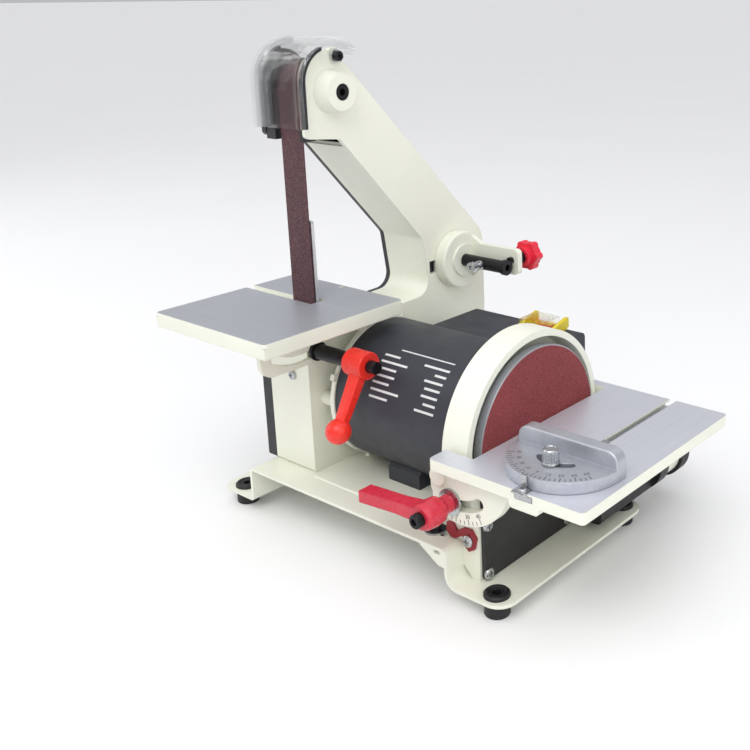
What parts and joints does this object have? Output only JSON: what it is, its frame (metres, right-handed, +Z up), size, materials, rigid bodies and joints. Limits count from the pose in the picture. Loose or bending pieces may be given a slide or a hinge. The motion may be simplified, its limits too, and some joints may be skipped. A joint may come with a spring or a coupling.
{
  "type": "belt disc sander",
  "caption": "Bench sander with an upright abrasive belt on a cast arm and an abrasive disc on the same motor shaft, each with a tilting work table, on a raised sheet base.",
  "frame": {"origin": "on the bench, in the middle of the four foot bolts", "axes": "+X along the motor axis towards the disc, +Y to the back, +Z up; the belt runs up the front face at -Y"},
  "size_m": [0.373, 0.274, 0.377],
  "materials": {
    "cream_paint": "cream enamel, slightly orange-peeled",
    "cream_plastic": "moulded cream plastic",
    "black_paint": "satin charcoal paint",
    "black_steel": "black oxide",
    "black_plastic": "moulded black plastic",
    "black_rubber": "moulded rubber",
    "red_plastic": "moulded red plastic",
    "pointer_red": "dark red plastic",
    "yellow_plastic": "moulded yellow plastic",
    "clear_plastic": "clear polycarbonate",
    "belt_abrasive": "brown cloth-backed abrasive",
    "disc_abrasive": "brick red aluminium oxide abrasive",
    "machined_aluminium": "machined top, painted edges",
    "cast_aluminium": "cast and turned",
    "bright_steel": "ground",
    "zinc_steel": "zinc plated",
    "lamination_steel": "stacked laminations",
    "copper": "enamelled copper wire"
  },
  "bodies": {
    "machine": {"base_plate": "cream_paint", "rubber_feet": "black_rubber", "base_bolts": "black_steel", "motor_foot": "black_paint", "motor_shell": "black_paint", "belt_end_bell": "cream_paint", "disc_end_bell": "black_paint", "stator_core": "lamination_steel", "stator_windings": "copper", "motor_bearings": "bright_steel", "switch_box": "black_paint", "switch_bezel": "yellow_plastic", "switch_boot": "clear_plastic", "cable_gland": "black_plastic", "belt_frame": "cream_paint", "belt_side_cover": "black_plastic", "case_screws": "zinc_steel", "platen": "bright_steel", "sanding_belt": "belt_abrasive", "idler_axle": "black_steel", "eye_guard": "clear_plastic", "eye_guard_screw": "zinc_steel", "head_shroud": "black_plastic", "belt_clamp_stud": "black_steel", "disc_guard": "cream_paint", "disc_panel": "black_plastic", "guard_screws": "zinc_steel", "dust_duct": "black_plastic", "dust_port": "cream_plastic", "port_ring": "black_rubber", "tilt_pointer": "pointer_red", "disc_clamp_bolts": "black_steel", "washers": "zinc_steel"},
    "spindle": {"motor_shaft": "bright_steel", "rotor_core": "lamination_steel", "cooling_fan": "black_plastic", "drive_wheel": "cast_aluminium", "drive_wheel_nut": "zinc_steel", "disc_plate": "cast_aluminium", "abrasive_disc": "disc_abrasive"},
    "idler": {"idler_wheel": "cast_aluminium", "idler_bearings": "bright_steel"},
    "tension_carriage": {"tension_arm": "cream_paint", "tension_axle": "black_steel", "tension_lock_screw": "zinc_steel"},
    "tension_roller": {"tension_wheel": "cast_aluminium", "tension_bearings": "bright_steel"},
    "tracking": {"tracking_knob": "red_plastic", "tracking_stud": "black_steel"},
    "belt_table_group": {"belt_table": "machined_aluminium", "belt_trunnion": "cream_paint"},
    "belt_clamp": {"belt_lever": "red_plastic"},
    "disc_table_group": {"disc_table": "machined_aluminium", "disc_trunnions": "cream_paint"},
    "disc_clamp": {"disc_clamp_lever": "red_plastic"},
    "miter_slide_bar": {"miter_bar": "zinc_steel", "miter_pointer": "zinc_steel"},
    "miter_body": {"miter_head": "cast_aluminium"},
    "miter_lock": {"miter_knob": "zinc_steel"},
    "rocker": {"switch_rocker": "red_plastic"}
  },
  "joints": [
    {"name": "spindle_spin", "type": "hinge", "parent": "machine", "child": "spindle", "pos_m": [0, 0, 0.0985], "axis": [1, 0, 0], "continuous": true},
    {"name": "idler_spin", "type": "hinge", "parent": "machine", "child": "idler", "pos_m": [-0.084, -0.0237, 0.3355], "axis": [1, 0, 0], "continuous": true},
    {"name": "tension_slide", "type": "slide", "parent": "machine", "child": "tension_carriage", "axis": [0, -1, 0], "range_m": [0, 0.006], "stiffness_N_per_m": 1500},
    {"name": "tension_spin", "type": "hinge", "parent": "tension_carriage", "child": "tension_roller", "pos_m": [-0.084, 0.10431, 0.179], "axis": [1, 0, 0], "continuous": true},
    {"name": "tracking_turn", "type": "hinge", "parent": "tension_carriage", "child": "tracking", "pos_m": [-0.005, 0.13431, 0.183], "axis": [0, 1, 0], "range_deg": [-180, 180]},
    {"name": "belt_table_tilt", "type": "hinge", "parent": "machine", "child": "belt_table_group", "pos_m": [-0.0845, -0.0718, 0.1882], "axis": [1, 0, 0], "range_deg": [0, 45]},
    {"name": "belt_clamp_turn", "type": "hinge", "parent": "machine", "child": "belt_clamp", "pos_m": [-0.008, -0.057, 0.141], "axis": [1, 0, 0], "range_deg": [-70, 20]},
    {"name": "disc_table_tilt", "type": "hinge", "parent": "machine", "child": "disc_table_group", "pos_m": [0.111, -0.004, 0.108], "axis": [0, 1, 0], "range_deg": [0, 45]},
    {"name": "disc_clamp_turn", "type": "hinge", "parent": "machine", "child": "disc_clamp", "pos_m": [0.1045, -0.1, 0.0765], "axis": [0, 1, 0], "range_deg": [-60, 60]},
    {"name": "miter_slide", "type": "slide", "parent": "disc_table_group", "child": "miter_slide_bar", "axis": [0, 1, 0], "range_m": [-0.02, 0.07]},
    {"name": "miter_swing", "type": "hinge", "parent": "miter_slide_bar", "child": "miter_body", "pos_m": [0.1745, -0.048, 0.112], "axis": [0, 0, 1], "range_deg": [-45, 45]},
    {"name": "miter_lock_turn", "type": "hinge", "parent": "miter_slide_bar", "child": "miter_lock", "pos_m": [0.1745, -0.065, 0.122], "axis": [0, 0, 1], "range_deg": [-180, 180]},
    {"name": "switch_rock", "type": "hinge", "parent": "machine", "child": "rocker", "pos_m": [0.0503, 0.0825, 0.1365], "axis": [0, 1, 0], "range_deg": [0, 16]}
  ],
  "couplings": [
    {"joint": "idler_spin", "follows": "spindle_spin", "ratio": 2.1422},
    {"joint": "tension_spin", "follows": "spindle_spin", "ratio": 1.796}
  ]
}
